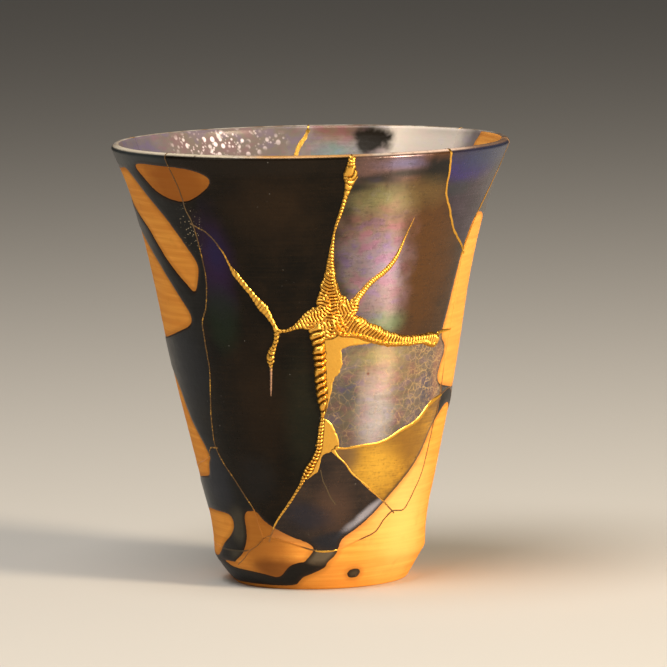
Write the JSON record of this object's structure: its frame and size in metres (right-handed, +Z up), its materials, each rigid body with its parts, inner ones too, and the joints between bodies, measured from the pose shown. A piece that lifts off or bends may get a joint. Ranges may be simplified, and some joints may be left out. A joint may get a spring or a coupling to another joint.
{
  "type": "kintsugi cup",
  "caption": "Tall flared ceramic cup on a bevelled foot, broken and mended: sherds of differing glazes joined by seams of gold lacquer, raised on the front.",
  "frame": {"origin": "middle of the foot's underside, on the surface that the cup stands on", "axes": "+Z up along the cup's axis, -Y towards the front with the raised gold seams, +X to its right"},
  "size_m": [0.09, 0.09, 0.1],
  "materials": {
    "bare_clay": "unglazed ochre stoneware, matt",
    "dark_glaze": "dark brown-black lustre glaze, glossy",
    "violet_blue_glaze": "violet-blue lustre glaze, glossy",
    "grey_crackled_glaze": "grey-lilac crackled glaze with gold in the cracks",
    "amber_glaze": "translucent gold-brown glaze, glossy",
    "gold_lacquer": "gold powder on lacquer, satin"
  },
  "bodies": {
    "root": {"sherd_base": "bare_clay", "sherd_front": "dark_glaze", "sherd_upper_left": "dark_glaze", "sherd_upper_right": "dark_glaze", "sherd_rim_blue": "violet_blue_glaze", "sherd_crackled": "grey_crackled_glaze", "sherd_amber": "amber_glaze", "sherd_lower_centre": "dark_glaze", "sherd_left_side": "dark_glaze", "sherd_lower_left": "dark_glaze", "sherd_right_side": "bare_clay", "sherd_back_right": "dark_glaze", "sherd_back_left": "dark_glaze", "lacquer_seams": "gold_lacquer"}
  },
  "joints": []
}
